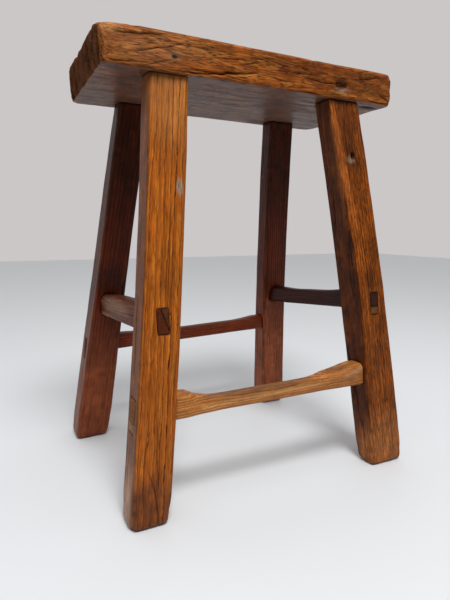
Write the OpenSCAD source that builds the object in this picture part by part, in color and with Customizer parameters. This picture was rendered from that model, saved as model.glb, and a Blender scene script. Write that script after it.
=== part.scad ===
// Rustic plank-top milking stool, four raked legs braced by four stretchers.
// Every joint is a wedged through tenon: legs into the seat, stretchers into the legs.
// +Z up, +X along the seat, front towards -Y; origin on the floor, middle of the footprint.

/* [Seat] */
// Overall height, floor to seat top
stool_h = 502; // [440:5:560]
// Seat length
seat_l = 378; // [320:1:420]
// Seat width, front to back
seat_w = 177; // [150:1:220]
// Seat thickness
seat_t = 39; // [30:1:45]
// Seat centre from the middle of the footprint
seat_centre = [3.5, -1.5]; // [-10:0.5:10]
// Plan radius of the seat's corners
seat_corner = 7; // [3:1:20]
// Worn rounding of the top edges
seat_top_round = 4; // [1:0.5:9]
// Worn rounding of the lower edges
seat_low_round = 3; // [1:0.5:6]
// How far the lower edge of each end is cut back
seat_undercut = 2.5; // [0:0.5:8]

/* [Front left leg] */
// Centre of the foot on the floor
fl_foot = [-158.8, -125.2]; // [-220:0.1:220]
// Centre of the head under the seat
fl_head = [-110.9, -69.0]; // [-220:0.1:220]
// Bow of the leg at mid height
fl_bow = [3.1, -0.7]; // [-6:0.1:6]
// Section at the foot, across and deep
fl_foot_size = [43, 37]; // [20:0.1:60]
// Section at mid height
fl_mid_size = [41.8, 34]; // [20:0.1:60]
// Section under the seat
fl_head_size = [43, 29]; // [20:0.1:60]

/* [Front right leg] */
// Centre of the foot on the floor
fr_foot = [166.3, -128.7]; // [-220:0.1:220]
// Centre of the head under the seat
fr_head = [117.1, -69.4]; // [-220:0.1:220]
// Bow of the leg at mid height
fr_bow = [2.2, -1.9]; // [-6:0.1:6]
// Section at the foot, across and deep
fr_foot_size = [52.5, 31]; // [20:0.1:60]
// Section at mid height
fr_mid_size = [41, 41.5]; // [20:0.1:60]
// Section under the seat
fr_head_size = [45, 31.5]; // [20:0.1:60]

/* [Rear left leg] */
// Centre of the foot on the floor
bl_foot = [-168.3, 124.1]; // [-220:0.1:220]
// Centre of the head under the seat
bl_head = [-109.0, 66.0]; // [-220:0.1:220]
// Bow of the leg at mid height
bl_bow = [-1.2, 0.2]; // [-6:0.1:6]
// Section at the foot, across and deep
bl_foot_size = [47.3, 42]; // [20:0.1:60]
// Section at mid height
bl_mid_size = [40, 42]; // [20:0.1:60]
// Section under the seat
bl_head_size = [40, 29.5]; // [20:0.1:60]

/* [Rear right leg] */
// Centre of the foot on the floor
br_foot = [147.8, 127.5]; // [-220:0.1:220]
// Centre of the head under the seat
br_head = [116.9, 66.4]; // [-220:0.1:220]
// Bow of the leg at mid height
br_bow = [-2.3, 1.2]; // [-6:0.1:6]
// Section at the foot, across and deep
br_foot_size = [42, 33]; // [20:0.1:60]
// Section at mid height
br_mid_size = [40.4, 28]; // [20:0.1:60]
// Section under the seat
br_head_size = [39, 26]; // [20:0.1:60]

/* [Leg details] */
// Height at which the middle section is given
leg_mid_z = 230; // [150:5:300]
// Worn rounding of the long corners
leg_round = 3.5; // [1:0.5:8]
// Worn rounding under the foot
foot_round = 3; // [1:0.5:6]
// Shoulder left around the tenon that enters the seat
leg_shoulder = 4; // [2:0.5:8]
// Wedge in the tenon's head: width at the top
head_wedge_top = 3.4; // [2:0.1:6]
// Wedge width at its tip
head_wedge_tip = 0.6; // [0.4:0.1:2]
// Wedge depth below the seat top
head_wedge_deep = 26; // [10:1:34]

/* [Front stretcher] */
// Height of its lower edge at the left and right legs
front_z = [103.5, 107.5]; // [60:1:200]
// Section at the ends, wide and high
front_end = [26, 28]; // [12:0.5:40]
// Section at the waist
front_mid = [18, 16.5]; // [10:0.5:30]
// Waist taper at the left end: start and finish from the leg's centre
front_ramp0 = [30, 62]; // [0:1:140]
// Waist taper at the right end
front_ramp1 = [52, 100]; // [0:1:140]
// Tenon thickness and height
front_tenon = [18, 25]; // [8:0.5:30]
// Rise of the tenon above the stretcher's lower edge
front_rise = 1.5; // [0:0.5:6]

/* [Rear stretcher] */
// Height of its lower edge at the left and right legs
rear_z = [130.5, 140]; // [60:1:240]
// Section at the ends, wide and high
rear_end = [21, 21.5]; // [12:0.5:40]
// Section at the waist
rear_mid = [17, 18]; // [10:0.5:30]
// Waist taper at the left end
rear_ramp0 = [30, 90]; // [0:1:140]
// Waist taper at the right end
rear_ramp1 = [28, 70]; // [0:1:140]
// Tenon thickness and height
rear_tenon = [12, 17]; // [8:0.5:30]
// Rise of the tenon above the stretcher's lower edge
rear_rise = 2; // [0:0.5:6]

/* [Left stretcher] */
// Height of its lower edge at the rear and front legs
left_z = [185.5, 195.5]; // [120:1:260]
// Section at the ends, wide and high
left_end = [25, 28]; // [12:0.5:40]
// Section in the middle
left_mid = [27, 29.5]; // [10:0.5:34]
// Taper at the rear end
left_ramp0 = [20, 70]; // [0:1:90]
// Taper at the front end
left_ramp1 = [20, 70]; // [0:1:90]
// Tenon thickness and height
left_tenon = [13, 27]; // [8:0.5:30]
// Rise of the tenon above the stretcher's lower edge
left_rise = 0.5; // [0:0.5:6]

/* [Right stretcher] */
// Height of its lower edge at the rear and front legs
right_z = [185, 203]; // [120:1:260]
// Section at the ends, wide and high
right_end = [22, 24.5]; // [12:0.5:40]
// Section at the waist
right_mid = [18, 21.5]; // [10:0.5:30]
// Taper at the rear end
right_ramp0 = [22, 75]; // [0:1:90]
// Taper at the front end
right_ramp1 = [22, 75]; // [0:1:90]
// Tenon thickness and height
right_tenon = [12, 18]; // [8:0.5:30]
// Rise of the tenon above the stretcher's lower edge
right_rise = 3; // [0:0.5:6]

/* [Stretcher joints] */
// How far a tenon end stands proud of the leg
tenon_proud = 0.4; // [0:0.1:2]
// Overlap of the tenon into the stretcher behind its shoulder
tenon_root = 4; // [2:0.5:10]
// Height of a wedge at the leg's outer face
wedge_out = 9; // [4:0.5:14]
// Height of a wedge at its inner end
wedge_in = 2; // [0.5:0.5:4]
// Length of a wedge into the leg
wedge_len = 24; // [12:1:32]
// Split in the left stretcher's front tenon: across and down from its upper corner
split_size = [9, 24]; // [4:0.5:26]

/* [Marks of age] */
// Knot hole in the seat's front edge: centre along and up
knot_at = [108.8, 478.8]; // [-180:0.1:495]
// Its mouth, wide and high
knot_size = [22, 14]; // [6:0.5:28]
// Its depth
knot_deep = 6; // [2:0.5:8]
// Knot hole in the front right leg: centre height
leg_knot_z = 395.7; // [300:0.1:450]
// Its mouth, wide and high
leg_knot_size = [8, 10]; // [4:0.5:12]
// Nail that pins the front left tenon: centre along and up
nail_at = [-107.6, 477.7]; // [-180:0.1:495]
// Nail shank diameter
nail_d = 2.8; // [2:0.1:5]
// Nail head diameter
nail_head_d = 5.6; // [4:0.1:9]
// Nail head thickness
nail_head_t = 1.2; // [0.8:0.1:2]
// Depth of the head below the wood
nail_sunk = 0.8; // [0:0.1:3]
// Nail length
nail_l = 28; // [20:1:40]

/* [Hidden] */
X = [1, 0, 0];
Y = [0, 1, 0];
Z = [0, 0, 1];
over = 1;          // cutters run past the wood by this much
reach = 8;         // stretcher mortises run past the leg by this much
corner_steps = 4;  // segments in a rounded corner
leg_levels = 8;    // sections along a leg
shaft_levels = 16; // sections along a stretcher
knot_sides = 20;
knot_floor = 0.55; // size of a knot hole's floor against its mouth
top_corner = 0.3;  // corner of a stretcher's upper edges against its width
low_corner = 0.18; // and of its lower edges
split_tip = 0.3;   // size of the split wedge at its inner end against the outer
foot_inset = 0.7;  // how far a rounded lower edge draws in, against its height
round_step = 0.3;  // where the rounded top edge is stepped, against its radius
seat_under = stool_h - seat_t;
seat_front = seat_centre[1] - seat_w / 2;

front_left = [fl_foot, fl_head, fl_bow, fl_foot_size, fl_mid_size, fl_head_size];
front_right = [fr_foot, fr_head, fr_bow, fr_foot_size, fr_mid_size, fr_head_size];
rear_left = [bl_foot, bl_head, bl_bow, bl_foot_size, bl_mid_size, bl_head_size];
rear_right = [br_foot, br_head, br_bow, br_foot_size, br_mid_size, br_head_size];
legs = [front_left, front_right, rear_left, rear_right];

// A stretcher: first leg, last leg, section axis, run axis, lower edge, sections, tapers, tenon
front_bar = [front_left, front_right, Y, 0, front_z, front_end, front_mid, front_ramp0, front_ramp1,
    front_tenon, front_rise];
rear_bar = [rear_left, rear_right, Y, 0, rear_z, rear_end, rear_mid, rear_ramp0, rear_ramp1,
    rear_tenon, rear_rise];
left_bar = [rear_left, front_left, X, 1, left_z, left_end, left_mid, left_ramp0, left_ramp1,
    left_tenon, left_rise];
right_bar = [rear_right, front_right, X, 1, right_z, right_end, right_mid, right_ramp0, right_ramp1,
    right_tenon, right_rise];

// ---------- numbers ----------

function lerp(a, b, t) = a + (b - a) * t;
function ease(a, b, x) = let (t = max(0, min(1, (x - a) / (b - a)))) t * t * (3 - 2 * t);

// ---------- flat sections, anticlockwise ----------

function arc(x, y, r, a0) = [for (i = [0 : corner_steps])
    let (a = a0 + 90 * i / corner_steps) [x + r * cos(a), y + r * sin(a)]];
function box_section(w, h) = [[w / 2, h / 2], [-w / 2, h / 2], [-w / 2, -h / 2], [w / 2, -h / 2]];
function soft_section(w, h, rt, rb) = concat(
    arc(w / 2 - rt, h / 2 - rt, rt, 0), arc(-w / 2 + rt, h / 2 - rt, rt, 90),
    arc(-w / 2 + rb, -h / 2 + rb, rb, 180), arc(w / 2 - rb, -h / 2 + rb, rb, 270));
function place(section, c, u, v) = [for (p = section) c + p[0] * u + p[1] * v];

// Skin through a row of equal sections, closed at both ends
module loft(rings) {
    n = len(rings[0]);
    last = len(rings) - 1;
    walls = [for (k = [0 : last - 1]) for (i = [0 : n - 1])
        let (j = (i + 1) % n, a = k * n, b = a + n) each [[a + i, b + i, b + j], [a + i, b + j, a + j]]];
    first_cap = [for (i = [0 : n - 1]) i];
    last_cap = [for (i = [n - 1 : -1 : 0]) last * n + i];
    polyhedron(points = [for (ring = rings) each ring], faces = concat([first_cap], walls, [last_cap]));
}

// ---------- legs ----------

function chord(leg, z) = lerp(leg[0], leg[1], z / seat_under);
function leg_at(leg, z) = let (t = z / seat_under) chord(leg, z) + leg[2] * 4 * t * (1 - t);
function leg_size(leg, z) = z < leg_mid_z
    ? lerp(leg[3], leg[4], z / leg_mid_z)
    : lerp(leg[4], leg[5], (z - leg_mid_z) / (seat_under - leg_mid_z));
function leg_ring(leg, z, inset) = let (c = leg_at(leg, z), s = leg_size(leg, z) - [2, 2] * inset)
    place(soft_section(s[0], s[1], leg_round, leg_round), [c[0], c[1], z], X, Y);
function head_ring(leg, z, size) = let (c = chord(leg, z))
    place(box_section(size[0], size[1]), [c[0], c[1], z], X, Y);

module leg_body(leg) {
    levels = [for (i = [0 : leg_levels]) lerp(foot_round, seat_under, i / leg_levels)];
    loft(concat([leg_ring(leg, 0, foot_round * foot_inset)], [for (z = levels) leg_ring(leg, z, 0)]));
}

module head_tenon(leg, low, high) {
    size = leg[5] - [2, 2] * leg_shoulder;
    loft([head_ring(leg, low, size), head_ring(leg, high, size)]);
}

// Wedge across the grain of the seat; past > 0 gives the matching kerf
module head_wedge(leg, past = 0) {
    deep = leg[5][1] - 2 * leg_shoulder + 2 * past;
    low = stool_h - head_wedge_deep;
    grow = (head_wedge_top - head_wedge_tip) / head_wedge_deep;
    loft([head_ring(leg, low, [head_wedge_tip, deep]),
        head_ring(leg, stool_h + past, [head_wedge_top + grow * past, deep])]);
}

module leg(leg) {
    difference() {
        union() {
            leg_body(leg);
            head_tenon(leg, seat_under - over, stool_h);
        }
        head_wedge(leg, over);
        for (bar = [front_bar, rear_bar, left_bar, right_bar]) for (end = [0, 1])
            if (bar[end] == leg) mortise(bar, end);
    }
}

// ---------- stretchers ----------

function bar_end(bar, end) = let (z = bar[4][end], c = leg_at(bar[end], z + bar[5][1] / 2)) [c[0], c[1], z];
function bar_dir(bar) = let (d = bar_end(bar, 1) - bar_end(bar, 0)) d / norm(d);
function bar_len(bar) = norm(bar_end(bar, 1) - bar_end(bar, 0));
// Point on the lower edge line, a distance from the given end
function bar_at(bar, end, s) = bar_end(bar, end) + bar_dir(bar) * (end == 0 ? s : -s);
// How much of the end section is left at a distance from the first leg
function bar_swell(bar, s) = max(1 - ease(bar[7][0], bar[7][1], s),
    1 - ease(bar[8][0], bar[8][1], bar_len(bar) - s));
function outward(bar, end) = sign(bar_dir(bar)[bar[3]]) * (end == 0 ? -1 : 1);
// Slide a point along a line until it stands proud of the leg's outer face
function to_face(p, line, bar, end) = let (k = bar[3], side = outward(bar, end),
    face = leg_at(bar[end], p[2])[k] + side * (leg_size(bar[end], p[2])[k] / 2 + tenon_proud))
    p + line * ((face - p[k]) / line[k]);
function flip_if(flip, rings) = flip ? [rings[1], rings[0]] : rings;

module shaft(bar) {
    length = bar_len(bar);
    loft([for (i = [0 : shaft_levels])
        let (s = length * i / shaft_levels, size = lerp(bar[6], bar[5], bar_swell(bar, s)))
        place(soft_section(size[0], size[1], size[0] * top_corner, size[0] * low_corner),
            bar_at(bar, 0, s) + Z * size[1] / 2, bar[2], Z)]);
}

// Block along one end of a bar, from corners above the lower edge line at two distances
module end_block(bar, end, outer_corners, inner_corners, outer_s, inner_s, trim) {
    outer = place(outer_corners, bar_at(bar, end, outer_s), bar[2], Z);
    inner = place(inner_corners, bar_at(bar, end, inner_s), bar[2], Z);
    tip = !trim ? outer : [for (i = [0 : len(outer) - 1])
        to_face(outer[i], outer[i] - inner[i], bar, end)];
    loft(flip_if(end == 1, [tip, inner]));
}

function half_leg(bar, end) = leg_size(bar[end], bar[4][end])[bar[3]] / 2;
function raised(w, low, high) = [[w / 2, high], [-w / 2, high], [-w / 2, low], [w / 2, low]];
function tenon_corners(bar) = raised(bar[9][0], bar[10], bar[10] + bar[9][1]);

module tenon(bar, end) {
    inner_s = half_leg(bar, end) + tenon_root;
    end_block(bar, end, tenon_corners(bar), tenon_corners(bar), -half_leg(bar, end), inner_s, true);
}

// Wedge driven in under a tenon, or the cut for it in the leg
module foot_wedge(bar, end, cut = false) {
    past = cut ? reach : 0;
    slope = (wedge_out - wedge_in) / wedge_len;
    from = -half_leg(bar, end);
    high = bar[10] + (cut ? over : 0);
    outer = raised(bar[9][0], bar[10] - wedge_out - slope * past, high);
    inner = raised(bar[9][0], bar[10] - wedge_in, high);
    end_block(bar, end, outer, inner, from - past, from + wedge_len, !cut);
}

// Corner of a tenon split off by a sloping plane; extra widens it away from that plane
function split_corners(bar, k, extra) = let (a = split_size[0] * k, b = split_size[1] * k,
    u = bar[9][0] / 2, v = bar[10] + bar[9][1])
    [[u + extra, v + extra], [u - a * (1 + extra / b), v + extra], [u + extra, v - b * (1 + extra / a)]];

// Wedge that splits a tenon, or the cut for it
module split_wedge(bar, end, cut = false) {
    past = cut ? reach : 0;
    extra = cut ? over : 0;
    from = -half_leg(bar, end);
    outer = split_corners(bar, 1 + past * (1 - split_tip) / wedge_len, extra);
    inner = split_corners(bar, split_tip, extra);
    end_block(bar, end, outer, inner, from - past, from + wedge_len, !cut);
}

function is_split(bar, end) = bar == left_bar && end == 1;

module mortise(bar, end) {
    run = half_leg(bar, end) + reach;
    end_block(bar, end, tenon_corners(bar), tenon_corners(bar), -run, run, false);
    if (!is_split(bar, end)) foot_wedge(bar, end, true);
}

module stretcher(bar) {
    difference() {
        union() {
            difference() {
                shaft(bar);
                leg_body(bar[0]);
                leg_body(bar[1]);
            }
            tenon(bar, 0);
            tenon(bar, 1);
        }
        if (is_split(bar, 1)) split_wedge(bar, 1, true);
    }
}

// ---------- seat ----------

function seat_ring(z, inset, cut) = place(
    soft_section(seat_l - 2 * inset - 2 * cut, seat_w - 2 * inset, seat_corner - inset, seat_corner - inset),
    [seat_centre[0], seat_centre[1], z], X, Y);

// Hollow left by a lost knot, opening towards -Y
module knot_hole(x, y, z, size, deep) {
    rim = [for (i = [0 : knot_sides - 1]) let (a = 360 * i / knot_sides)
        [cos(a) * size[0], sin(a) * size[1]] / 2];
    grow = 1 + (1 - knot_floor) * over / deep;
    loft([place(rim * knot_floor, [x, y + deep, z], X, Z), place(rim * grow, [x, y - over, z], X, Z)]);
}

module nail(past = 0) {
    translate([nail_at[0], seat_front + nail_sunk, nail_at[1]])
        rotate([-90, 0, 0]) {
            cylinder(d = nail_d, h = nail_l, $fn = 32);
            translate([0, 0, -past]) cylinder(d = nail_head_d, h = nail_head_t + past, $fn = 32);
        }
}

module seat_slab() {
    loft([
        seat_ring(seat_under, seat_low_round * foot_inset, seat_undercut),
        seat_ring(seat_under + seat_low_round, 0, seat_undercut),
        seat_ring(stool_h - seat_top_round, 0, 0),
        seat_ring(stool_h - seat_top_round * round_step, seat_top_round * round_step, 0),
        seat_ring(stool_h, seat_top_round, 0)]);
}

// ---------- pieces ----------

module seat() {
    color("#a8662f") difference() {
        seat_slab();
        for (l = legs) head_tenon(l, seat_under - over, stool_h + over);
        knot_hole(knot_at[0], seat_front, knot_at[1], knot_size, knot_deep);
        nail(over);
    }
}

module front_left_leg() {
    color("#b96f2b") difference() {
        leg(front_left);
        nail(over);
    }
}

module front_right_leg() {
    c = leg_at(front_right, leg_knot_z);
    y = c[1] - leg_size(front_right, leg_knot_z)[1] / 2;
    color("#96592a") difference() {
        leg(front_right);
        knot_hole(c[0], y, leg_knot_z, leg_knot_size, knot_deep);
    }
}

module rear_left_leg() { color("#63341f") leg(rear_left); }

module rear_right_leg() { color("#63341f") leg(rear_right); }

module front_stretcher() { color("#b0743a") stretcher(front_bar); }

module rear_stretcher() { color("#693524") stretcher(rear_bar); }

module left_stretcher() { color("#6d4d3a") stretcher(left_bar); }

module right_stretcher() { color("#5b2f22") stretcher(right_bar); }

module wood_wedge() { color("#8a6140") children(); }

module front_left_head_wedge() { wood_wedge() head_wedge(front_left); }

module front_right_head_wedge() { wood_wedge() head_wedge(front_right); }

module rear_left_head_wedge() { wood_wedge() head_wedge(rear_left); }

module rear_right_head_wedge() { wood_wedge() head_wedge(rear_right); }

module front_stretcher_left_wedge() { wood_wedge() foot_wedge(front_bar, 0); }

module front_stretcher_right_wedge() { wood_wedge() foot_wedge(front_bar, 1); }

module rear_stretcher_left_wedge() { wood_wedge() foot_wedge(rear_bar, 0); }

module rear_stretcher_right_wedge() { wood_wedge() foot_wedge(rear_bar, 1); }

module left_stretcher_rear_wedge() { wood_wedge() foot_wedge(left_bar, 0); }

module left_stretcher_front_wedge() { wood_wedge() split_wedge(left_bar, 1); }

module right_stretcher_rear_wedge() { wood_wedge() foot_wedge(right_bar, 0); }

module right_stretcher_front_wedge() { wood_wedge() foot_wedge(right_bar, 1); }

module seat_nail() { color("#3c3936") nail(); }

// ---------- what is drawn ----------

seat();
front_left_leg();
front_right_leg();
rear_left_leg();
rear_right_leg();
front_stretcher();
rear_stretcher();
left_stretcher();
right_stretcher();
front_left_head_wedge();
front_right_head_wedge();
rear_left_head_wedge();
rear_right_head_wedge();
front_stretcher_left_wedge();
front_stretcher_right_wedge();
rear_stretcher_left_wedge();
rear_stretcher_right_wedge();
left_stretcher_rear_wedge();
left_stretcher_front_wedge();
right_stretcher_rear_wedge();
right_stretcher_front_wedge();
seat_nail();
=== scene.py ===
import math

import bmesh
import bpy
import numpy as np
from mathutils import Matrix, Vector
from mathutils.bvhtree import BVHTree


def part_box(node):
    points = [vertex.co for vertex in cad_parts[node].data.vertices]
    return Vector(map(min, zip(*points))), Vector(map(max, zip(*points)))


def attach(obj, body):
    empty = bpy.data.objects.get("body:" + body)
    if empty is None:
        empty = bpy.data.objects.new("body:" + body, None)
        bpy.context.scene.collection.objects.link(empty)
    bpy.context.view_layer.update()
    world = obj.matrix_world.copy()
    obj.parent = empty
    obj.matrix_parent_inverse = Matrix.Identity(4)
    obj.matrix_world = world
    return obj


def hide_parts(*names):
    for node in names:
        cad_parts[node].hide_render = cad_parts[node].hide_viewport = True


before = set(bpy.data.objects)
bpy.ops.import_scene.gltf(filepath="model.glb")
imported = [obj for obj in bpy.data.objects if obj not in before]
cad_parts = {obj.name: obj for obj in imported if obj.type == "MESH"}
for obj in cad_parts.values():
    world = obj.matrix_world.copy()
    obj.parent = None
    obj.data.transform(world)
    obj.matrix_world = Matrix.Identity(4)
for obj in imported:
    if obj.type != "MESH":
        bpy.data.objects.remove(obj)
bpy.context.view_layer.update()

MM = 0.001

# ---------------------------------------------------------------- pieces

LEGS = ("front_left_leg", "front_right_leg", "rear_left_leg", "rear_right_leg")
WEDGES = tuple(n for n in sorted(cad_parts) if n.endswith("wedge"))

# Cell of the new surface in millimetres: along the grain, and across it.
CELLS = {"seat": (2.4, 0.92), "leg": (2.0, 0.80), "stretcher": (1.8, 0.75), "wedge": (0.9, 0.45)}

# How each piece was cut from the tree and how it aged.
#   pith      middle of the tree, in mm from the piece's middle, along its two cross directions
#   spacing   width of a year ring in mm
#   sweep     how far the rings wander, in mm, and over what length, across and depth
#   groove    depth in mm of the weathered soft rings on the faces, and on the end grain
#   hewn      depth in mm of the broad unevenness left by the tools
#   checks    depth in mm of drying cracks
#   round     how far the arrises are worn, from 0 to 1
#   sheen     how far wax and hands have polished it, from 0 to 1
#   seed      what tells its chance marks from those of the other pieces
CUTS = {
    "seat": dict(pith=(25, 420), spacing=3.0, sweep=(5.5, (95, 15, 40)), groove=(0.30, 1.0), hewn=0.6,
                 checks=1.1, round=0.6, sheen=0.3, seed=11),
    "front_left_leg": dict(pith=(60, 260), spacing=6.6, sweep=(3.4, (230, 15, 15)), groove=(0.16, 0.5),
                           hewn=0.45, checks=0.45, round=0.5, sheen=0.45, seed=23),
    "front_right_leg": dict(pith=(-30, -150), spacing=4.0, sweep=(3.2, (150, 12, 12)), groove=(0.28, 0.5),
                            hewn=0.55, checks=0.7, round=0.6, sheen=0.4, seed=37),
    "rear_left_leg": dict(pith=(90, 120), spacing=3.6, sweep=(2.6, (220, 14, 14)), groove=(0.12, 0.4),
                          hewn=0.40, checks=0.3, round=0.5, sheen=0.45, seed=41),
    "rear_right_leg": dict(pith=(-80, 110), spacing=3.6, sweep=(2.6, (220, 14, 14)), groove=(0.15, 0.4),
                           hewn=0.40, checks=0.3, round=0.5, sheen=0.45, seed=53),
    "front_stretcher": dict(pith=(-60, 14), spacing=3.2, sweep=(3.0, (120, 10, 10)), groove=(0.10, 0.3),
                            hewn=0.45, checks=0.35, round=0.8, sheen=0.55, seed=61),
    "rear_stretcher": dict(pith=(40, 30), spacing=3.4, sweep=(2.0, (120, 10, 10)), groove=(0.10, 0.3),
                           hewn=0.35, checks=0.3, round=0.6, sheen=0.5, seed=71),
    "left_stretcher": dict(pith=(40, -40), spacing=3.2, sweep=(2.4, (90, 10, 10)), groove=(0.12, 0.3),
                           hewn=0.45, checks=0.35, round=0.6, sheen=0.42, seed=83),
    "right_stretcher": dict(pith=(-40, 20), spacing=3.4, sweep=(2.0, (120, 10, 10)), groove=(0.10, 0.3),
                            hewn=0.35, checks=0.3, round=0.6, sheen=0.5, seed=97),
}
WEDGE_CUT = dict(pith=(8, 5), spacing=1.6, sweep=(0.6, (30, 6, 6)), groove=(0.05, 0.1), hewn=0.10,
                 checks=0.1, round=0.3, sheen=0.3, seed=101)

# Cracks seen on a face: the way it faces, start and end (along, across), bow, half width and depth, in mm.
CRACKS = {
    "seat": [
        ("front", (-104, 464), (-8, 476), -1.0, 1.1, 2.4),
        ("front", (-8, 476), (48, 474), -2.0, 0.7, 0.9),
        ("front", (-165, 475), (-91, 495), -2.5, 0.9, 1.2),
        ("front", (-172, 492), (-112, 499), -1.5, 1.0, 1.4),
        ("front", (-140, 465), (-109, 475), 0.5, 0.8, 1.0),
        ("front", (-34, 480), (-4, 487), 0.5, 0.8, 1.0),
        ("front", (-68, 483), (-2, 491), -1.0, 0.7, 0.8),
        ("front", (-20, 494), (60, 488), 1.5, 0.7, 0.8),
        ("front", (20, 481), (75, 484), 1.2, 0.7, 0.9),
        ("front", (46, 482), (100, 479), -2.5, 0.8, 1.2),
        ("front", (122, 486), (172, 494), 1.0, 0.8, 1.2),
        ("front", (168, 475), (190, 466), 0.0, 1.0, 1.6),
        ("left", (-62, 470), (-40, 492), 0.5, 0.8, 1.4),
    ],
    "front_left_leg": [
        ("front", (20, -152), (120, -146), 1.5, 0.7, 0.7),
        ("front", (0, -150), (66, -160), 3.0, 0.7, 0.8),
        ("front", (200, -131), (330, -118), 0.8, 0.5, 0.5),
        ("front", (300, -128), (452, -112), -0.8, 0.5, 0.5),
        ("left", (15, -118), (92, -112), 0.8, 0.6, 0.6),
    ],
    "front_right_leg": [
        ("front", (190, 141), (330, 129), 1.2, 0.8, 1.0),
        ("front", (0, 160), (150, 152), -1.0, 0.6, 0.7),
        ("front", (330, 120), (460, 112), 0.8, 0.7, 0.8),
        ("front", (10, 176), (95, 168), 0.6, 0.5, 0.6),
    ],
    "front_stretcher": [("front", (-120, 122), (60, 124), 0.6, 0.5, 0.5)],
}

# Dents and lost chips: middle and radii in mm, and depth in mm.
DENTS = {
    "seat": [
        ((168, -70, 462), (17, 6, 6), 6.0), ((-150, -92, 501), (7, 9, 4), 1.6),
        ((66, -89, 499), (2.2, 5, 11), 1.8), ((-184, 20, 501), (6, 16, 5), 1.4),
        ((-184, -60, 462), (6, 10, 5), 1.4), ((30, 88, 500), (26, 4, 4), 1.2),
    ],
    "front_left_leg": [
        ((-107, -97, 347), (3.5, 3.5, 9), 2.6), ((-137, -150, 2), (5, 6, 9), 2.2),
        ((-178, -140, 4), (4, 6, 8), 2.0), ((-150, -146, 2), (3, 5, 10), 1.6),
    ],
    "front_right_leg": [
        ((109.7, -96.5, 373), (3.5, 4, 5), 2.4), ((138, -110, 236), (4, 3.5, 11), 1.3),
        ((128, -102, 300), (3.5, 3.5, 5), 1.2), ((116, -88, 430), (4, 3.5, 7), 1.0),
    ],
    "rear_left_leg": [((-180, 110, 3), (6, 6, 9), 2.0)],
    "rear_right_leg": [((128, 60, 220), (3, 4, 9), 1.2)],
    "front_stretcher": [
        ((90, -114, 134), (32, 26, 9), 3.0), ((-60, -128, 108), (12, 5, 4), 1.2),
        ((80, -128, 128), (16, 5, 4), 1.0),
    ],
    "left_stretcher": [((-150, 40, 190), (6, 14, 5), 1.2)],
}

# Whole faces made darker by the way they face, partly weathering and partly painted shade on the faces turned
# from the light: the way they face, colour as seen, and strength from 0 to 1.
FACE_TINTS_AND_SHADES = {
    "seat": [("under", (76, 44, 28), 0.85), ("left", (104, 66, 42), 0.8), ("right", (78, 45, 26), 0.75),
             ("rear", (92, 52, 24), 0.6)],
    "front_left_leg": [("left", (108, 58, 24), 0.85), ("rear", (74, 36, 16), 0.7)],
    "front_right_leg": [("left", (78, 36, 14), 0.8), ("rear", (60, 28, 12), 0.7)],
    "rear_left_leg": [("left", (74, 38, 18), 0.6)],
}

# Pieces whose swelling ends were drawn down by hand: how far from the middle, in mm, and rounds of easing.
DRAWN = {"front_stretcher": (112, 420)}

# Places worn round by use: middle and radii in mm.
WORN = {
    "seat": [
        ((-187, -92, 484), (15, 13, 24)), ((-180, -92, 503), (26, 12, 8)),
        ((192, -92, 492), (9, 10, 14)), ((-187, 86, 484), (9, 12, 24)),
        ((192, 86, 484), (9, 10, 24)),
    ],
    "rear_left_leg": [((-144, 102, 2), (22, 22, 30))],
}

# Long marks along a piece. The pale lines along the arrises of the legs and the seat are painted highlights.
# Those on the stretchers are partly wear and partly painted highlight. The dark band on the front right leg
# is its own colour. Both ends and radius in mm, colour as seen, and strength from 0 to 1.
STREAKS_AND_HIGHLIGHTS = {
    "front_right_leg": [
        # painted highlights along the arris, then the leg's own dark band
        ((95, -88, 458), (140, -113, 211), 5.0, (224, 124, 52), 1.0),
        ((140, -113, 211), (148, -134, 24), 4.5, (206, 112, 46), 0.75),
        ((118, -88, 432), (154, -117, 170), 6.5, (58, 29, 14), 0.65),
    ],
    "front_left_leg": [
        # painted highlights along the arrises
        ((-132, -92, 463), (-178, -142, 20), 2.5, (206, 130, 62), 0.5),
        ((-92, -92, 440), (-112, -118, 250), 4.0, (206, 134, 66), 0.45),
    ],
    # painted highlight along the arris
    "rear_left_leg": [((-128, 52, 463), (-188, 104, 20), 3.0, (128, 78, 48), 0.5)],
    "seat": [
        # painted highlights along the top front arris and the left front corner, then an orange line along
        # the lower front edge
        ((-176, -92, 500), (185, -90, 501), 2.2, (196, 128, 72), 0.5),
        ((-186, -88, 466), (-186, -90, 498), 4.0, (196, 130, 82), 0.6),
        ((-100, -92, 464), (150, -90, 465), 2.2, (176, 92, 34), 0.45),
    ],
    "front_stretcher": [
        # pale lines, partly wear and partly painted highlight
        ((-90, -122, 112), (90, -122, 118), 2.4, (214, 164, 108), 0.5),
        ((105, -126, 122), (140, -128, 134), 3.0, (222, 184, 140), 0.6),
    ],
    # pale line along the arris, partly wear and partly painted highlight
    "left_stretcher": [((-156, 70, 190), (-142, -90, 198), 2.2, (190, 160, 132), 0.5)],
}
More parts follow.
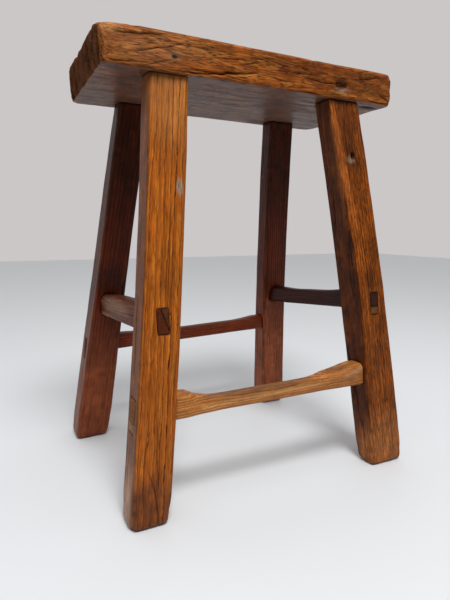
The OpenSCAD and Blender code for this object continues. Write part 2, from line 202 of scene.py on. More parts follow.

# Stains, with the painted shade and painted highlights among them marked: middle and radii in mm, colour as
# seen, and strength from 0 to 1.
STAINS_AND_PAINTED_LIGHT = {
    "seat": [
        ((-174, -92, 498), (13, 8, 7), (214, 150, 92), 0.8),
        ((-107.6, -93, 479), (6, 6, 4.5), (150, 128, 104), 0.7),
        ((-140, -92, 472), (36, 8, 9), (190, 118, 66), 0.5),
        # painted highlight on the lower lip of the knot hole, then painted shade inside the hole
        ((109, -84, 473.4), (11, 9, 3.8), (206, 190, 172), 0.95),
        ((107, -83, 483.5), (11, 8, 5), (16, 9, 6), 0.95),
        ((66, -89, 498), (3, 6, 8), (58, 32, 18), 0.7),
        ((105, -88, 486), (110, 9, 14), (104, 48, 14), 0.65),
        ((-128, -92, 486), (58, 8, 13), (170, 116, 78), 0.4),
        ((150, -87, 482), (44, 8, 17), (124, 72, 30), 0.5),
        ((168, -72, 463), (15, 8, 6), (24, 15, 10), 0.9),
    ],
    "front_left_leg": [
        ((-184, -120, 44), (10, 28, 76), (200, 162, 132), 0.9),
        ((-158, -144, 16), (36, 14, 40), (112, 60, 30), 0.8),
        ((-172, -146, 34), (12, 12, 26), (66, 36, 20), 0.6),
        ((-107, -98, 347), (4, 4, 9), (150, 130, 112), 0.8),
        ((-126, -88, 460), (24, 12, 9), (56, 28, 12), 0.85),
        ((-112, -86, 440), (24, 16, 50), (190, 126, 66), 0.5),
        ((-128, -102, 246), (18, 12, 14), (120, 62, 26), 0.5),
    ],
    "front_right_leg": [
        # darker upper leg: painted shadow of the seat, partly a dark stain
        ((120, -92, 425), (26, 16, 48), (92, 46, 20), 0.6),
        ((121, -98, 391), (6, 6, 4), (170, 150, 128), 0.75),
        # darkest at the top of the leg: painted shadow of the seat, partly a dark stain
        ((118, -90, 468), (26, 18, 12), (46, 24, 12), 0.8),
        ((164, -134, 24), (36, 20, 38), (188, 118, 62), 0.75),
        ((160, -128, 54), (30, 14, 7), (78, 44, 24), 0.5),
        ((142, -114, 236), (9, 8, 20), (56, 34, 22), 0.7),
    ],
    "rear_left_leg": [
        # dark at the top: painted shade under the seat, partly a dark stain
        ((-118, 60, 430), (60, 50, 120), (34, 13, 4), 0.7),
        # lighter low down: painted light from the pale floor
        ((-164, 104, 50), (60, 40, 110), (150, 80, 46), 0.7),
        ((-138, 66, 236), (26, 20, 26), (40, 20, 10), 0.6),
    ],
    "rear_right_leg": [
        # dark at the top: painted shade under the seat, partly a dark stain
        ((118, 55, 430), (60, 50, 120), (34, 13, 4), 0.7),
        # lighter low down: painted light from the pale floor
        ((142, 100, 60), (60, 50, 120), (164, 90, 56), 0.75),
    ],
    "front_stretcher": [
        ((-20, -114, 120), (120, 9, 4), (84, 58, 38), 0.7),
        ((120, -124, 122), (50, 14, 14), (150, 92, 48), 0.55),
        ((60, -118, 108), (60, 9, 6), (136, 78, 38), 0.5),
        ((-178, -114, 116), (14, 24, 22), (104, 66, 42), 0.9),
    ],
    "left_stretcher": [
        ((-148, 20, 208), (18, 60, 9), (140, 104, 76), 0.6),
        ((-132, -122, 212), (16, 12, 24), (112, 52, 22), 0.85),
        ((-140, 92, 200), (24, 14, 24), (44, 26, 16), 0.7),
    ],
    "right_stretcher": [((140, -122, 212), (16, 14, 20), (82, 54, 34), 0.8)],
    "left_stretcher_front_wedge": [((-128, -118, 212), (30, 30, 40), (92, 42, 20), 0.85)],
    "front_stretcher_left_wedge": [((-180, -118, 98), (30, 30, 30), (204, 168, 132), 1.0)],
}

# Colours as seen in soft daylight: soft dark ring, body, hard light ring, worn edge.
TONES = {
    "seat": ((58, 24, 6), (164, 86, 24), (194, 118, 46), (206, 134, 66)),
    "front_left_leg": ((70, 27, 4), (171, 88, 20), (190, 111, 34), (197, 122, 46)),
    "front_right_leg": ((54, 22, 4), (140, 70, 18), (164, 88, 26), (184, 98, 30)),
    "rear_left_leg": ((46, 13, 3), (88, 30, 7), (119, 44, 12), (115, 50, 15)),
    "rear_right_leg": ((47, 16, 5), (92, 36, 11), (125, 50, 18), (125, 57, 23)),
    "front_stretcher": ((104, 54, 18), (178, 108, 44), (205, 137, 67), (226, 165, 93)),
    "rear_stretcher": ((66, 22, 6), (112, 44, 16), (135, 59, 23), (143, 68, 29)),
    "left_stretcher": ((59, 22, 6), (99, 43, 16), (126, 62, 27), (164, 94, 47)),
    "right_stretcher": ((27, 4, 2), (51, 12, 4), (67, 20, 7), (78, 27, 10)),
    "wedges": ((77, 43, 19), (127, 81, 43), (151, 106, 62), (158, 112, 68)),
}

# How the grain of a piece differs from the usual; see wood() for what each value does.
LOOKS = {
    "seat": dict(line_depth=0.8, line_width=0.13, pores=0.6, blotch=0.35, relief=1.8, weathering_and_highlight=1.0,
                 threads=(0.42, 6.0)),
    "front_left_leg": dict(line_depth=1.5, line_width=0.09, pores=0.8, blotch=0.22, weathering_and_highlight=0.5,
                           threads=(0.22, 4.2)),
    "front_right_leg": dict(line_depth=1.2, line_width=0.12, pores=1.0, blotch=0.4, relief=1.1, weathering_and_highlight=0.8),
}


def linear(colour):
    """Linear colour for a display colour of 0 to 255."""
    return tuple(((c / 255 + 0.055) / 1.055) ** 2.4 if c > 10 else c / 255 / 12.92 for c in colour)


# ---------------------------------------------------------------- smooth noise

def lattice(i, j, k, seed):
    """A repeatable value from 0 to 1 for each whole-number point."""
    h = (i * 374761393 + j * 668265263 + k * 1440662683 + seed * 974634777) & 0xFFFFFFFF
    h = ((h ^ (h >> 13)) * 1274126177) & 0xFFFFFFFF
    h = ((h ^ (h >> 16)) * 2246822519) & 0xFFFFFFFF
    return ((h ^ (h >> 15)) & 0xFFFF) / 65535.0


def noise(q, size, seed):
    """Smooth noise from -1 to 1 at the points q, in lumps of that size."""
    s = q / np.asarray(size, float)
    i = np.floor(s).astype(np.int64)
    t = s - i
    t = t * t * t * (t * (t * 6 - 15) + 10)
    total = np.zeros(len(q))
    for dx in (0, 1):
        wx = t[:, 0] if dx else 1 - t[:, 0]
        for dy in (0, 1):
            wy = t[:, 1] if dy else 1 - t[:, 1]
            for dz in (0, 1):
                wz = t[:, 2] if dz else 1 - t[:, 2]
                total += wx * wy * wz * lattice(i[:, 0] + dx, i[:, 1] + dy, i[:, 2] + dz, seed)
    return 2 * total - 1


def layered(q, size, seed, layers=3):
    """Noise with finer layers added, each half the size and half the height."""
    size = np.asarray(size, float)
    return sum(noise(q, size / 2 ** k, seed + 7 * k) / 2 ** k for k in range(layers)) / 1.5


def step(x, low, high):
    """Eases from 0 at low to 1 at high."""
    t = np.clip((x - low) / (high - low), 0, 1)
    return t * t * (3 - 2 * t)


# ---------------------------------------------------------------- surface of a piece

def unit(v):
    return v / np.linalg.norm(v)


def middle(p):
    return (p.min(axis=0) + p.max(axis=0)) / 2


def points_of(mesh):
    p = np.empty(len(mesh.vertices) * 3)
    mesh.vertices.foreach_get("co", p)
    return p.reshape(-1, 3)


def grain_axes(p):
    """Middle of a piece and its three directions: along the grain, then two across it."""
    size = p.max(axis=0) - p.min(axis=0)
    k = int(size.argmax())
    low = middle(p[p[:, k] < p[:, k].min() + 0.05 * size[k]])
    high = middle(p[p[:, k] > p[:, k].max() - 0.05 * size[k]])
    along = unit(high - low)
    guide = np.array([0.0, 1.0, 0.0]) if k == 2 else np.array([0.0, 0.0, 1.0])
    second = unit(guide - along * (guide @ along))
    return middle(p), np.array([along, second, np.cross(along, second)])


def welded(source):
    """The CAD surface of a node as one closed mesh."""
    bm = bmesh.new()
    bm.from_mesh(source.data)
    bmesh.ops.remove_doubles(bm, verts=bm.verts, dist=1e-6)
    mesh = bpy.data.meshes.new(source.name + "_closed")
    bm.to_mesh(mesh)
    bm.free()
    return mesh


def even_surface(source, name, cell):
    """A fine even surface over a CAD node, with cells stretched along the grain."""
    mesh = welded(source)
    centre, axes = grain_axes(points_of(mesh))
    stretch = np.array([cell[0] / cell[1], 1.0, 1.0])
    q = (points_of(mesh) - centre) @ axes.T / stretch
    mesh.vertices.foreach_set("co", q.ravel())
    mesh.update()
    helper = bpy.data.objects.new(name + "_helper", mesh)
    bpy.context.scene.collection.objects.link(helper)
    remesh = helper.modifiers.new("remesh", "REMESH")
    remesh.mode = "VOXEL"
    remesh.voxel_size = cell[1] * MM
    remesh.adaptivity = 0.0
    depsgraph = bpy.context.evaluated_depsgraph_get()
    fine = bpy.data.meshes.new_from_object(helper.evaluated_get(depsgraph))
    bpy.data.objects.remove(helper)
    bpy.data.meshes.remove(mesh)
    fine.name = name
    p = (points_of(fine) * stretch) @ axes + centre
    fine.vertices.foreach_set("co", p.ravel())
    fine.update()
    return fine, centre, axes


def edges_of(mesh):
    e = np.empty(len(mesh.edges) * 2, dtype=np.int64)
    mesh.edges.foreach_get("vertices", e)
    return e.reshape(-1, 2)


def smoothed(p, edges, rounds):
    """Each point moved towards its neighbours' average, near ones counting more, that many times."""
    a, b = edges.T
    length = np.linalg.norm(p[a] - p[b], axis=1)
    pull = (length.min() + 0.3 * length.mean()) ** 2 / (length ** 2 + 1e-12)
    pull = np.clip(pull, 0, 1)
    weight = np.bincount(a, pull, len(p)) + np.bincount(b, pull, len(p)) + 1e-9
    most = weight.max()
    for _ in range(rounds):
        move = np.empty_like(p)
        for k in range(3):
            gap = (p[b, k] - p[a, k]) * pull
            move[:, k] = np.bincount(a, gap, len(p)) - np.bincount(b, gap, len(p))
        p = p + 0.5 * move / np.maximum(weight, 0.5 * most)[:, None]
    return p


def spread(value, edges, rounds):
    return smoothed(np.repeat(value[:, None], 3, axis=1), edges, rounds)[:, 0]


def normals_of(mesh, p):
    mesh.vertices.foreach_set("co", p.ravel())
    mesh.update()
    n = np.empty(len(p) * 3)
    mesh.vertex_normals.foreach_get("vector", n)
    return n.reshape(-1, 3)


# ---------------------------------------------------------------- grain, wear and painted shade

# Rounds of smoothing that show an arris, a finer bend, and that wear a spot or a foot round.
ARRIS_ROUNDS, BEND_ROUNDS, WORN_ROUNDS, FOOT_ROUNDS = 14, 8, 160, 200
# Bend in mm, from none to full: of an arris, of rubbed wood, and of a hollow darkened with grime and painted
# shade.
ARRIS_BEND, WEAR_BEND, GRIME_AND_SHADE_BEND = (0.15, 0.9), (0.10, 0.55), (0.05, 0.30)
# How squarely a face cuts the grain, from not at all to wholly end grain.
END_GRAIN = (0.45, 0.85)
# Widths of a ring's soft part and of its drying crack, as parts of the ring.
SOFT_RING, DRY_RING = 0.17, 0.10
# Heights and depths in mm: the surface before wear, nicks, and the furrows and ridges of the seat's ends.
PROUD, NICK_DEPTH, FURROW_DEPTH, RIDGE_RISE = 0.3, 0.9, 2.8, 0.6
# Height of a worn foot in mm, and distances in mm from a seam or the floor where the shape is kept.
FOOT_RISE, SEAM_HELD, FLOOR_HELD = 16, 0.6, 3
# How far grime and painted shade reach out of a seam, in mm, and how much more the seat's underside shines.
SEAM_GRIME_AND_SHADE, UNDER_POLISH = 0.75, 0.6

FACING = {"front": (0, -1, 0), "rear": (0, 1, 0), "left": (-1, 0, 0), "right": (1, 0, 0), "under": (0, 0, -1),
          "top": (0, 0, 1)}


def rings(q, cut):
    """Year ring number, with its fraction, at points q in the piece's grain directions, in mm."""
    reach, size = cut["sweep"]
    warp = reach * layered(q, size, cut["seed"], 2)
    warp += 0.5 * noise(q, (26, 5, 5), cut["seed"] + 3)
    away = np.hypot(q[:, 1] - cut["pith"][0], q[:, 2] - cut["pith"][1])
    return (away + warp) / cut["spacing"]


def groove(ring, width):
    """1 in the soft part of each ring, 0 elsewhere."""
    part = ring - np.floor(ring)
    part = np.minimum(part, 1 - part)
    return np.exp(-(part / width) ** 2)


def crack_depth(p, n, crack, upright):
    """How deep one drawn crack goes at each point, in mm, and how much it darkens."""
    side, start, end, bow, half, depth = crack
    level = 1 if side in ("left", "right") else 0
    seen = step(n @ np.array(FACING[side], float), 0.3, 0.6)
    along, across = (p[:, 2], p[:, level]) if upright else (p[:, level], p[:, 2])
    t = (along - start[0]) / (end[0] - start[0])
    line = start[1] + (end[1] - start[1]) * t + 4 * bow * t * (1 - t)
    wander = np.column_stack([along, np.full(len(p), start[1]), np.full(len(p), end[1])])
    line = line + 0.9 * noise(wander, 9, 5) + 0.4 * noise(wander, 4, 6)
    taper = np.sin(np.pi * np.clip(t, 0, 1)) ** 0.5
    shape = np.exp(-((across - line) / (half * (0.4 + 0.6 * taper))) ** 2) * (taper > 0) * taper * seen
    return shape * depth, shape


def lump(p, centre, radii):
    """1 at the middle of an ellipsoid, easing to 0 at its surface."""
    d = np.sum(((p - np.array(centre, float)) / np.array(radii, float)) ** 2, axis=1)
    return np.clip(1 - d, 0, 1) ** 1.5


def fog(p, centre, radii):
    """1 at the middle of a soft ellipsoid, fading away past its surface."""
    d = np.sum(((p - np.array(centre, float)) / np.array(radii, float)) ** 2, axis=1)
    return np.exp(-d * d * 0.7)


def streak(p, start, finish, radius):
    """1 on a line, fading away past its radius."""
    start, finish = np.array(start, float), np.array(finish, float)
    run = finish - start
    t = np.clip((p - start) @ run / (run @ run), 0, 1)
    d = np.linalg.norm(p - start - t[:, None] * run, axis=1) / radius
    return np.exp(-0.7 * d ** 3)


TREES = {n: BVHTree.FromObject(o, bpy.context.evaluated_depsgraph_get()) for n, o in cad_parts.items()}
SEAM_REACH = 3.0 * MM


def seam_distance(p, node):
    """Distance in metres from each point to the nearest other piece, up to the seam's reach."""
    near = np.full(len(p), SEAM_REACH)
    for other, tree in TREES.items():
        low, high = (np.array(c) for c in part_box(other))
        if other == node:
            continue
        close = np.all((p > low - SEAM_REACH) & (p < high + SEAM_REACH), axis=1)
        for i in np.nonzero(close)[0]:
            gap = tree.find_nearest(Vector(p[i]), SEAM_REACH)[3]
            if gap is not None and gap < near[i]:
                near[i] = gap
    return near


def worn_spot(p, edges, shape, rounds):
    """Smooths a piece far more where shape is over 0, as hands, feet and floors do."""
    near = shape > 0.02
    number = np.cumsum(near) - 1
    inner = number[edges[near[edges].all(axis=1)]]
    worn = smoothed(p[near], inner, rounds)
    p[near] += (worn - p[near]) * np.minimum(1, 1.6 * shape[near])[:, None]
    return p


def drawn_down(p, edges, centre, along, reach, rounds):
    """Eases a piece along its grain only, so it swells and thins gently between its shoulders."""
    run = p[edges[:, 1]] - p[edges[:, 0]]
    lengthwise = np.abs(run @ along) > 0.7 * np.linalg.norm(run, axis=1)
    eased = smoothed(smoothed(p, edges[lengthwise], rounds), edges, 10)
    inner = 1 - step(np.abs((p - centre) @ along) / MM, reach - 16, reach)
    return p + (eased - p) * inner[:, None]


def worn_foot(p, edges):
    """Rounds the foot of a leg, which still stands flat on the floor."""
    p = worn_spot(p, edges, step(-p[:, 2], -40 * MM, -4 * MM) ** 2, FOOT_ROUNDS)
    lift = p[:, 2].min()
    p[:, 2] -= lift * np.clip(1 - p[:, 2] / (25 * MM), 0, 1)
    return p


def worn_shape(p, n, edges, node, cut, centre, axes):
    """Rounds a piece's arrises, foot and worn spots, and says where its arrises are."""
    soft = smoothed(p, edges, ARRIS_ROUNDS)
    edge = np.einsum("ij,ij->i", p - soft, n) / MM
    arris = step(edge, *ARRIS_BEND)
    foot = step(-p[:, 2], -FOOT_RISE * MM, -1 * MM) if node in LEGS else 0.0
    rounding = np.clip(cut["round"] * arris + foot, 0, 1)
    p = p + (soft - p) * rounding[:, None]
    if node in DRAWN:
        p = drawn_down(p, edges, centre, axes[0], *DRAWN[node])
    for spot, radii in WORN.get(node, ()):
        p = worn_spot(p, edges, fog(p / MM, spot, radii), WORN_ROUNDS)
    if node in LEGS:
        p = worn_foot(p, edges)
    return p, arris


def grain_relief(q, ring, end, arris, cut):
    """How deep weather, tools and knocks went, in mm, and where a soft ring dried open."""
    seed = cut["seed"]
    face_groove, end_groove = cut["groove"]
    patchy = 0.35 + 0.65 * step(noise(q, (70, 9, 9), seed + 1), -0.5, 0.6)
    drop = groove(ring, SOFT_RING) * patchy * (face_groove + (end_groove - face_groove) * end)
    drop += cut["hewn"] * layered(q, (70, 26, 26), seed + 2) - PROUD
    drop += 0.22 * cut["hewn"] * noise(q, (22, 6, 6), seed + 4)
    dry = groove(ring, DRY_RING) * step(noise(q, (42, 6, 6), seed + 5), 0.2, 0.6)
    drop += cut["checks"] * dry * (1 - end)
    nick = step(noise(q, (9, 6, 6), seed + 8), 0.45, 0.8) * step(noise(q, (60, 60, 60), seed + 9), -0.2, 0.4)
    drop += NICK_DEPTH * nick * arris
    return drop, 0.6 * dry


def end_ridges(q, end, seed):
    """Where the weathered furrows of the seat's ends are, from 0 to 1."""
    ridge = 0.7 * noise(q, (30, 26, 4.2), seed + 10) + 0.5 * noise(q, (9, 9, 2.4), seed + 11)
    return end * step(ridge, -0.2, 0.5)


def marked(drop, dark, w, n, node, seed):
    """Adds a piece's own cracks and dents to its depths, and says where its dents are."""
    for crack in CRACKS.get(node, ()):
        depth, shade = crack_depth(w, n, crack, node in LEGS)
        drop = drop + depth
        dark = np.maximum(dark, shade)
    hollow = np.zeros(len(w))
    for spot, radii, depth in DENTS.get(node, ()):
        shape = lump(w, spot, radii)
        drop = drop + depth * shape * (1 + 0.25 * noise(w, 2.5, seed + 12))
        hollow = np.maximum(hollow, shape)
    return drop, dark, hollow


def stains_and_painted_light(w, n, node, seed):
    """Colour and strength of a piece's face tints, streaks and stains, with the painted shade and painted
    highlights among them.
    """
    tint = np.zeros((len(w), 4))
    layers = [(step(n @ np.array(FACING[side], float), 0.45, 0.85), colour, strength)
              for side, colour, strength in FACE_TINTS_AND_SHADES.get(node, ())]
    layers += [(streak(w, start, finish, radius), colour, strength)
               for start, finish, radius, colour, strength in STREAKS_AND_HIGHLIGHTS.get(node, ())]
    layers += [(fog(w, spot, radii), colour, strength)
               for spot, radii, colour, strength in STAINS_AND_PAINTED_LIGHT.get(node, ())]
    for shape, colour, strength in layers:
        a = np.clip(strength * shape * (1 + 0.3 * noise(w, 7, seed + 14)), 0, 1)
        tint[:, :3] = tint[:, :3] * (1 - a)[:, None] + np.array(linear(colour)) * a[:, None]
        tint[:, 3] = tint[:, 3] * (1 - a) + a
    tint[:, :3] /= np.maximum(tint[:, 3:], 1e-4)
    return tint


def aged(mesh, node, cut, centre, axes):
    """Shapes the fine surface as worn wood and stores what its material reads, painted shade and painted
    highlights among it.
    """
    edges = edges_of(mesh)
    p = smoothed(points_of(mesh), edges, 2)
    p, arris = worn_shape(p, normals_of(mesh, p), edges, node, cut, centre, axes)
    n = normals_of(mesh, p)

    q = (p - centre) @ axes.T / MM
    w = p / MM
    ring = rings(q, cut)
    end = step(np.abs(n @ axes[0]), *END_GRAIN)
    drop, dark = grain_relief(q, ring, end, arris, cut)
    if node == "seat":
        furrow = end_ridges(q, end, cut["seed"])
        drop += FURROW_DEPTH * furrow - RIDGE_RISE * end
        # the furrows are darkened with painted shade as well as grime
        dark = np.maximum(dark, 0.9 * furrow)
    drop, dark, hollow = marked(drop, dark, w, n, node, cut["seed"])

    gap = seam_distance(p, node)
    inside = gap < SEAM_HELD * MM
    held = 1 - step(spread(1.0 * inside, edges, 2), 0.55, 1.0)
    on_floor = step(p[:, 2], 0.0, FLOOR_HELD * MM) if node in LEGS else 1.0
    p = p - n * (drop * MM * held * on_floor)[:, None]
    n = normals_of(mesh, p)

    bend = np.einsum("ij,ij->i", p - smoothed(p, edges, BEND_ROUNDS), n) / MM
    wear = step(bend, *WEAR_BEND) * (1 - 0.5 * end)
    # hollows, cracks, the seat's furrows, dents and seams are darkened: partly grime, partly painted shade
    cavity = step(-bend, *GRIME_AND_SHADE_BEND)
    seam = 0.85 * np.exp(-(gap / (SEAM_GRIME_AND_SHADE * MM)) ** 2)
    grime_and_shade = np.clip(np.maximum(np.maximum(cavity, dark), seam) + 0.35 * hollow, 0, 1)

    tint = stains_and_painted_light(w, n, node, cut["seed"])
    pale = step(tint[:, :3].mean(axis=1), 0.16, 0.34) * tint[:, 3]
    grime_and_shade *= 1 - 0.85 * pale

    polish = np.full(len(p), cut["sheen"])
    if node == "seat":
        polish += UNDER_POLISH * step(-n[:, 2], 0.6, 0.95)
    polish -= 0.35 * end

    store(mesh, "grain", "FLOAT_VECTOR", "vector", np.column_stack([ring, q[:, 1] * 0.1, q[:, 0] * 0.1]))
    store(mesh, "cross", "FLOAT_VECTOR", "vector", q * 0.1)
    store(mesh, "age", "FLOAT_VECTOR", "vector", np.column_stack([end, wear, grime_and_shade]))
    store(mesh, "tint", "FLOAT_COLOR", "color", tint)
    store(mesh, "polish", "FLOAT", "value", polish)


def store(mesh, name, kind, field, values):
    attribute = mesh.attributes.new(name, kind, "POINT")
    attribute.data.foreach_set(field, np.ascontiguousarray(values, dtype=np.float32).ravel())


# ---------------------------------------------------------------- materials

class Shader:
    """Short names for building the nodes of a material or a world."""

    def __init__(self, owner):
        owner.use_nodes = True
        self.material = owner
        self.tree = owner.node_tree
        self.surface = self.tree.nodes.get("Principled BSDF")

    def node(self, kind, values=None, **settings):
        made = self.tree.nodes.new(kind)
        for key, value in settings.items():
            setattr(made, key, value)
        for key, value in (values or {}).items():
            self.put(made.inputs[key], value)
        return made

    def put(self, socket, value):
        if isinstance(value, bpy.types.NodeSocket):
            self.tree.links.new(value, socket)
        elif isinstance(value, tuple) and len(value) == 3 and socket.type == "RGBA":
            socket.default_value = (*value, 1)
        else:
            socket.default_value = value

    def math(self, operation, a, b=0.0, clamp=False):
        made = self.node("ShaderNodeMath", {0: a, 1: b}, operation=operation, use_clamp=clamp)
        return made.outputs[0]

    def add(self, a, b):
        return self.math("ADD", a, b)

    def mul(self, a, b):
        return self.math("MULTIPLY", a, b)

    def remap(self, value, low, high, to_low=0.0, to_high=1.0):
        made = self.node("ShaderNodeMapRange", {0: value, 1: low, 2: high, 3: to_low, 4: to_high})
        made.interpolation_type = "SMOOTHSTEP"
        return made.outputs[0]

    def mix(self, amount, a, b, blend="MIX"):
        made = self.node("ShaderNodeMix", data_type="RGBA", blend_type=blend)
        for socket, value in zip((made.inputs[0], made.inputs[6], made.inputs[7]), (amount, a, b)):
            self.put(socket, value)
        return made.outputs[2]

    def stored(self, name):
        return self.node("ShaderNodeAttribute", attribute_name=name)

    def scaled(self, vector, x, y, z):
        made = self.node("ShaderNodeVectorMath", {0: vector, 1: (x, y, z)}, operation="MULTIPLY")
        return made.outputs[0]

    def noise(self, vector, scale, detail=2.0, roughness=0.5):
        values = {"Vector": vector, "Scale": scale, "Detail": detail, "Roughness": roughness}
        return self.node("ShaderNodeTexNoise", values).outputs["Fac"]

    def grey(self, value):
        return self.node("ShaderNodeCombineColor", {0: value, 1: value, 2: value}).outputs[0]


def wood(name, tones, line_depth=0.85, line_width=0.14, pores=0.5, blotch=0.30, rough=0.52, relief=0.6,
         weathering_and_highlight=0.25, threads=(0.50, 4.6)):
    """Aged waxed wood whose ring lines, fibres, pores and wear follow the stored grain, with painted
    highlights on the thread crests and painted shade with the grime in the hollows.
    """
    s = Shader(bpy.data.materials.new(name))
    dark, body, light, worn = (linear(c) for c in tones)
    cross = s.stored("cross").outputs["Vector"]
    ring = s.node("ShaderNodeSeparateXYZ", {0: s.stored("grain").outputs["Vector"]}).outputs[0]
    age = s.node("ShaderNodeSeparateXYZ", {0: s.stored("age").outputs["Vector"]})
    end, wear, grime_and_shade = age.outputs[0], age.outputs[1], age.outputs[2]

    wavy = s.noise(s.scaled(cross, 0.35, 2.2, 2.2), 1.0, 3.0)
    fine = s.noise(s.scaled(cross, 1.2, 9.0, 9.0), 1.0, 2.0)
    ring = s.add(ring, s.add(s.mul(s.add(wavy, -0.5), 0.9), s.mul(s.add(fine, -0.5), 0.28)))
    number = s.math("FLOOR", ring)
    part = s.math("FRACT", ring)
    each = s.node("ShaderNodeTexWhiteNoise", {"W": number}, noise_dimensions="1D").outputs["Value"]

    fibre = s.noise(s.scaled(cross, 1.6, 26.0, 26.0), 1.0, 4.0, 0.62)
    band = s.noise(s.scaled(cross, 0.30, 5.0, 5.0), 1.0, 3.0, 0.55)
    dash = s.noise(s.scaled(cross, 5.0, 60.0, 60.0), 1.0, 2.0, 0.6)
    patch = s.noise(s.scaled(cross, 0.25, 0.6, 0.6), 1.0, 4.0, 0.6)
    speck = s.noise(cross, 9.0, 3.0, 0.65)

    rise = s.remap(part, 0.0, 0.05)
    fall = s.remap(part, 0.5 * line_width, 2.2 * line_width)
    line = s.mul(rise, s.math("SUBTRACT", 1.0, fall))
    strength = s.mul(s.remap(each, 0.0, 1.0, 0.30, 1.0), s.remap(band, 0.25, 0.65, 0.40, 1.0))
    line = s.math("MINIMUM", s.mul(s.mul(line, strength), line_depth), 1.0)
    pore = s.mul(s.remap(dash, 0.56, 0.70), s.add(s.mul(line, 0.8), 0.2))
    pore = s.mul(pore, pores)

    thread = s.noise(s.scaled(cross, threads[0], threads[1], threads[1]), 1.0, 2.5, 0.55)
    from_thread = s.math("ABSOLUTE", s.add(thread, -0.5))
    split = s.remap(from_thread, 0.0, 0.045, 1.0, 0.0)
    split = s.mul(s.mul(split, s.remap(band, 0.35, 0.62, 0.25, 1.0)), weathering_and_highlight)

    late = s.remap(s.add(part, s.mul(s.add(fibre, -0.5), 0.8)), 0.45, 0.95)
    colour = s.mix(late, body, light)
    colour = s.mix(line, colour, dark)
    colour = s.mix(pore, colour, tuple(c * 0.5 for c in dark))
    colour = s.mix(split, colour, tuple(c * 0.6 for c in dark))
    blotches = s.remap(patch, 0.25, 0.75, 1 - blotch, 1 + 0.6 * blotch)
    shade = s.mul(s.remap(fibre, 0.25, 0.75, 0.80, 1.16), blotches)
    shade = s.mul(shade, s.remap(band, 0.25, 0.75, 0.84, 1.10))
    # painted highlight on the crests between the threads, and painted shade beside them
    crest_highlight = s.remap(from_thread, 0.02, 0.15, 1 - 0.2 * weathering_and_highlight, 1 + 0.16 * weathering_and_highlight)
    shade = s.mul(shade, crest_highlight)
    colour = s.mix(1.0, colour, s.grey(shade), "MULTIPLY")

    tint = s.stored("tint")
    detail = s.mul(shade, s.math("SUBTRACT", 1.08, s.mul(s.math("MAXIMUM", line, split), 0.6)))
    stain = s.mix(1.0, tint.outputs["Color"], s.grey(detail), "MULTIPLY")
    stain_part = s.mul(tint.outputs["Alpha"], s.remap(speck, 0.3, 0.7, 0.75, 1.1))
    colour = s.mix(stain_part, colour, stain)

    rubbed = s.mul(s.mul(wear, s.remap(speck, 0.35, 0.62, 0.25, 1.0)), 0.75)
    colour = s.mix(rubbed, colour, worn)
    pits = s.mul(end, s.remap(s.noise(s.scaled(cross, 3.0, 20.0, 20.0), 1.0, 2.0), 0.45, 0.62))
    colour = s.mix(s.mul(end, 0.30), colour, tuple(c * 0.55 for c in body))
    colour = s.mix(s.mul(pits, 0.55), colour, tuple(c * 0.4 for c in dark))
    # grime and painted shade darken the hollows, cracks and seams
    soot_and_shade = s.mul(grime_and_shade, s.remap(speck, 0.25, 0.6, 0.70, 1.0))
    colour = s.mix(s.mul(soot_and_shade, 0.88), colour, tuple(c * 0.28 for c in dark))
    s.put(s.surface.inputs["Base Color"], colour)

    gloss = s.stored("polish").outputs["Fac"]
    finish = s.add(rough, s.mul(gloss, -0.26))
    finish = s.add(finish, s.mul(s.add(speck, -0.5), 0.22))
    finish = s.add(finish, s.mul(s.add(line, s.add(grime_and_shade, end)), 0.12))
    s.put(s.surface.inputs["Roughness"], s.math("MAXIMUM", finish, 0.16))
    s.put(s.surface.inputs["Specular IOR Level"], s.remap(gloss, 0.35, 0.9, 0.10, 0.62))

    height = s.add(s.mul(fibre, 0.5), s.mul(speck, 0.35))
    height = s.add(height, s.mul(s.add(line, s.mul(pore, 1.2)), -0.8))
    height = s.add(height, s.mul(s.add(s.add(pits, s.mul(grime_and_shade, 0.6)), s.mul(split, 1.1)), -1.0))
    bump = s.node("ShaderNodeBump", {"Strength": 0.6, "Distance": relief * MM, "Height": height})
    s.put(s.surface.inputs["Normal"], bump.outputs[0])
    return s.material


def iron(name):
    """Dark hand-forged nail iron with rust in its pits."""
    s = Shader(bpy.data.materials.new(name))
    place = s.node("ShaderNodeTexCoord").outputs["Object"]
    rust = s.remap(s.noise(place, 900.0, 4.0, 0.65), 0.42, 0.68)
    colour = s.mix(rust, linear((44, 40, 38)), linear((86, 50, 32)))
    s.put(s.surface.inputs["Base Color"], colour)
    s.surface.inputs["Metallic"].default_value = 0.7
    s.put(s.surface.inputs["Roughness"], s.remap(rust, 0.0, 1.0, 0.42, 0.78))
    height = s.noise(place, 1400.0, 3.0, 0.6)
    bump = s.node("ShaderNodeBump", {"Strength": 0.7, "Distance": 0.0004, "Height": height})
    s.put(s.surface.inputs["Normal"], bump.outputs[0])
    return s.material


# ---------------------------------------------------------------- pieces of the stool

def add_piece(node, mesh, material):
    piece = bpy.data.objects.new("worn_" + node, mesh)
    bpy.context.scene.collection.objects.link(piece)
    mesh.materials.clear()
    mesh.materials.append(material)
    mesh.shade_smooth()
    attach(piece, "root")
    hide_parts(node)
    return piece


def wooden_piece(node, kind, cut, material):
    mesh, centre, axes = even_surface(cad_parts[node], "worn_" + node, CELLS[kind])
    aged(mesh, node, cut, centre, axes)
    return add_piece(node, mesh, material)


def nail():
    """The nail, with the flat facets of its hammered head."""
    mesh, centre, axes = even_surface(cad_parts["seat_nail"], "worn_seat_nail", (0.4, 0.35))
    edges = edges_of(mesh)
    p = smoothed(points_of(mesh), edges, 2)
    n = normals_of(mesh, p)
    p = p - n * (0.16 * MM * layered(p / MM, 1.8, 131))[:, None]
    normals_of(mesh, p)
    return add_piece("seat_nail", mesh, iron("nail_iron"))


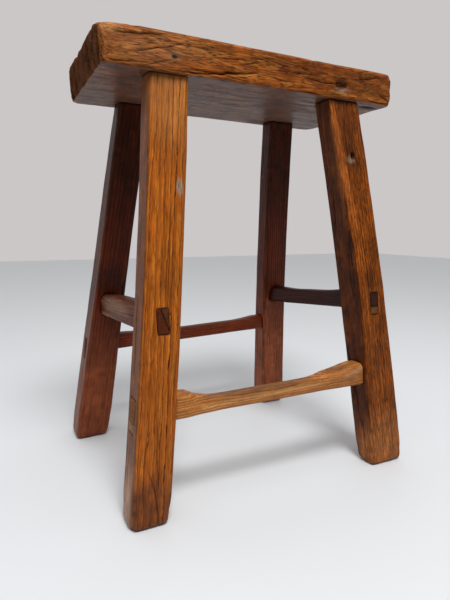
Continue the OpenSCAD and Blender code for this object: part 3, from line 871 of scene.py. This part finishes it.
def build_stool():
    for node, cut in CUTS.items():
        kind = "seat" if node == "seat" else "leg" if node in LEGS else "stretcher"
        material = wood(node + "_wood", TONES[node], **LOOKS.get(node, {}))
        wooden_piece(node, kind, cut, material)
    wedge_wood = wood("wedge_wood", TONES["wedges"], pores=0.4)
    for count, node in enumerate(WEDGES):
        wooden_piece(node, "wedge", dict(WEDGE_CUT, seed=WEDGE_CUT["seed"] + count), wedge_wood)
    nail()


# ---------------------------------------------------------------- stage, light and camera

FLOOR_COLOUR = (226, 231, 236)
BACKDROP, CEILING, ROOM = (203, 199, 199), (230, 228, 226), (92, 87, 84)
KEY_ELEVATION, KEY_AZIMUTH = 63, 8       # degrees above the floor, and to the left of straight ahead
KEY_DISTANCE, KEY_SIZE, KEY_POWER = 2.2, 0.75, 30
CAMERA_AT = (-0.2909, -0.5756, 0.3067)
CAMERA_HEADING, CAMERA_PITCH, CAMERA_ROLL = 26.5, 8.68, 0.33
CAMERA_LENS, CAMERA_FILM = 28.58, 36.0


def add_floor():
    mesh = bpy.data.meshes.new("floor")
    far = 4.0
    mesh.from_pydata([(-far, -far, 0), (far, -far, 0), (far, far, 0), (-far, far, 0)], [], [(0, 1, 2, 3)])
    floor = bpy.data.objects.new("floor", mesh)
    bpy.context.scene.collection.objects.link(floor)
    s = Shader(bpy.data.materials.new("floor_paint"))
    s.surface.inputs["Base Color"].default_value = (*linear(FLOOR_COLOUR), 1)
    s.surface.inputs["Roughness"].default_value = 0.6
    mesh.materials.append(s.material)


def add_light():
    world = bpy.data.worlds.new("studio")
    s = Shader(world)
    way = s.node("ShaderNodeSeparateXYZ", {0: s.node("ShaderNodeTexCoord").outputs["Generated"]})
    around = s.mix(s.remap(way.outputs[1], -0.1, 0.55), linear(ROOM), linear(BACKDROP))
    colour = s.mix(s.remap(way.outputs[2], 0.45, 0.9), around, linear(CEILING))
    s.put(s.tree.nodes["Background"].inputs["Color"], colour)
    bpy.context.scene.world = world
    light = bpy.data.lights.new("key", "AREA")
    light.shape = "DISK"
    light.size = KEY_SIZE
    light.energy = KEY_POWER
    light.color = (1.0, 0.985, 0.96)
    up, side = math.radians(KEY_ELEVATION), math.radians(KEY_AZIMUTH)
    way = Vector((-math.sin(side) * math.cos(up), -math.cos(side) * math.cos(up), math.sin(up)))
    lamp = bpy.data.objects.new("key", light)
    lamp.location = way * KEY_DISTANCE
    lamp.rotation_euler = way.to_track_quat("Z", "Y").to_euler()
    bpy.context.scene.collection.objects.link(lamp)


def add_camera():
    data = bpy.data.cameras.new("camera")
    data.lens = CAMERA_LENS
    data.sensor_width = CAMERA_FILM
    data.clip_start = 0.01
    h, t, r = (math.radians(a) for a in (CAMERA_HEADING, CAMERA_PITCH, CAMERA_ROLL))
    ahead = Vector((math.sin(h) * math.cos(t), math.cos(h) * math.cos(t), -math.sin(t)))
    level = Vector((math.cos(h), -math.sin(h), 0))
    above = level.cross(ahead)
    right = level * math.cos(r) + above * math.sin(r)
    up = above * math.cos(r) - level * math.sin(r)
    turn = Matrix((right, up, -ahead)).transposed()
    camera = bpy.data.objects.new("camera", data)
    camera.matrix_world = Matrix.Translation(CAMERA_AT) @ turn.to_4x4()
    bpy.context.scene.collection.objects.link(camera)
    bpy.context.scene.camera = camera


build_stool()
add_floor()
add_light()
add_camera()
bpy.context.scene.view_settings.view_transform = "Standard"
